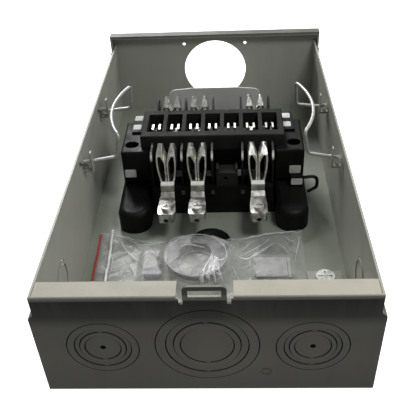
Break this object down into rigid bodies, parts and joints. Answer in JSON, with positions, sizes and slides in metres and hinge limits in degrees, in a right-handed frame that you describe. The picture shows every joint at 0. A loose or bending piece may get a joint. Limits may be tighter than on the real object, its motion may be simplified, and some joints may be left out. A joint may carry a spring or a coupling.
{
  "type": "meter socket box",
  "caption": "Open steel meter socket box lying on its back, with a black terminal block, spring jaws, wire meter supports, knockouts and a hub opening.",
  "frame": {"origin": "middle of the underside of the back panel, as the box lies on its back", "axes": "+Z out of the open front, +Y towards the hub end (top when hung on a wall), +X to the right seen from the front"},
  "size_m": [0.21, 0.364, 0.094],
  "materials": {
    "grey_paint": "satin",
    "shield_paint": "satin",
    "black_moulding": "satin",
    "jaw_plate": "satin",
    "strap_plate": "satin",
    "clip_plate": "polished",
    "screw_plate": "satin",
    "green_screw": "satin",
    "bright_wire": "polished",
    "jumper_wire": "glossy",
    "bag_film": "glossy",
    "ring_plastic": "glossy",
    "cap_plastic": "glossy",
    "paper_strip": "satin"
  },
  "bodies": {
    "box": {"back_panel": "grey_paint", "barrier_1": "black_moulding", "barrier_2": "black_moulding", "barrier_3": "black_moulding", "barrier_4": "black_moulding", "barrier_5": "black_moulding", "base_mounting_screws": "screw_plate", "bottom_end_wall": "grey_paint", "bridge_posts": "black_moulding", "bridge_skirt": "black_moulding", "centre_knockout": "grey_paint", "clip_rail": "black_moulding", "contact_clip_1": "clip_plate", "contact_clip_2": "clip_plate", "contact_clip_3": "clip_plate", "contact_clip_4": "clip_plate", "contact_clip_5": "clip_plate", "contact_clip_6": "clip_plate", "contact_clip_7": "clip_plate", "ground_bracket": "screw_plate", "jumper_wire": "jumper_wire", "left_end_housing": "black_moulding", "left_knockout": "grey_paint", "left_side_wall": "grey_paint", "left_wall_knockout": "grey_paint", "line_jaw_1": "jaw_plate", "line_jaw_2": "jaw_plate", "line_jaw_4": "jaw_plate", "line_side_shield": "shield_paint", "line_strap_1": "strap_plate", "line_strap_2": "strap_plate", "line_strap_4": "strap_plate", "load_jaw_1": "jaw_plate", "load_jaw_2": "jaw_plate", "load_jaw_4": "jaw_plate", "load_strap_1": "strap_plate", "load_strap_2": "strap_plate", "load_strap_4": "strap_plate", "rail_rivets": "screw_plate", "right_end_housing": "black_moulding", "right_knockout": "grey_paint", "right_side_wall": "grey_paint", "right_wall_knockout": "grey_paint", "spare_jaw_seat": "black_moulding", "terminal_base": "black_moulding", "test_bridge": "black_moulding", "top_end_wall": "grey_paint"},
    "line_screw_1": {"line_screw_1": "screw_plate"},
    "line_screw_2": {"line_screw_2": "screw_plate"},
    "line_screw_4": {"line_screw_4": "screw_plate"},
    "load_screw_1": {"load_screw_1": "screw_plate"},
    "load_screw_2": {"load_screw_2": "screw_plate"},
    "load_screw_4": {"load_screw_4": "screw_plate"},
    "ground_screw": {"ground_screw": "green_screw"},
    "left_meter_support": {"left_meter_support": "bright_wire"},
    "right_meter_support": {"right_meter_support": "bright_wire"},
    "loose_bag": {"accessory_bag": "bag_film", "spare_ring": "ring_plastic", "spare_cap": "cap_plastic", "folded_strip": "paper_strip"}
  },
  "joints": [
    {"name": "line_screw_1_turn", "type": "hinge", "parent": "box", "child": "line_screw_1", "pos_m": [-0.0375, 0.1135, 0.0285], "axis": [0, 0, 1], "continuous": true},
    {"name": "line_screw_2_turn", "type": "hinge", "parent": "box", "child": "line_screw_2", "pos_m": [-0.0125, 0.1135, 0.0285], "axis": [0, 0, 1], "continuous": true},
    {"name": "line_screw_4_turn", "type": "hinge", "parent": "box", "child": "line_screw_4", "pos_m": [0.0375, 0.1135, 0.0285], "axis": [0, 0, 1], "continuous": true},
    {"name": "load_screw_1_turn", "type": "hinge", "parent": "box", "child": "load_screw_1", "pos_m": [-0.0375, -0.029, 0.0285], "axis": [0, 0, 1], "continuous": true},
    {"name": "load_screw_2_turn", "type": "hinge", "parent": "box", "child": "load_screw_2", "pos_m": [-0.0125, -0.029, 0.0285], "axis": [0, 0, 1], "continuous": true},
    {"name": "load_screw_4_turn", "type": "hinge", "parent": "box", "child": "load_screw_4", "pos_m": [0.0375, -0.029, 0.0285], "axis": [0, 0, 1], "continuous": true},
    {"name": "ground_screw_turn", "type": "hinge", "parent": "box", "child": "ground_screw", "pos_m": [0.0855, -0.087, 0.006], "axis": [0, 0, 1], "continuous": true},
    {"name": "left_support_lift", "type": "slide", "parent": "box", "child": "left_meter_support", "axis": [0, 0, 1], "range_m": [0, 0.03]},
    {"name": "right_support_lift", "type": "slide", "parent": "box", "child": "right_meter_support", "axis": [0, 0, 1], "range_m": [0, 0.03]},
    {"name": "bag_lift", "type": "slide", "parent": "box", "child": "loose_bag", "axis": [0, 0, 1], "range_m": [0, 0.12]}
  ]
}
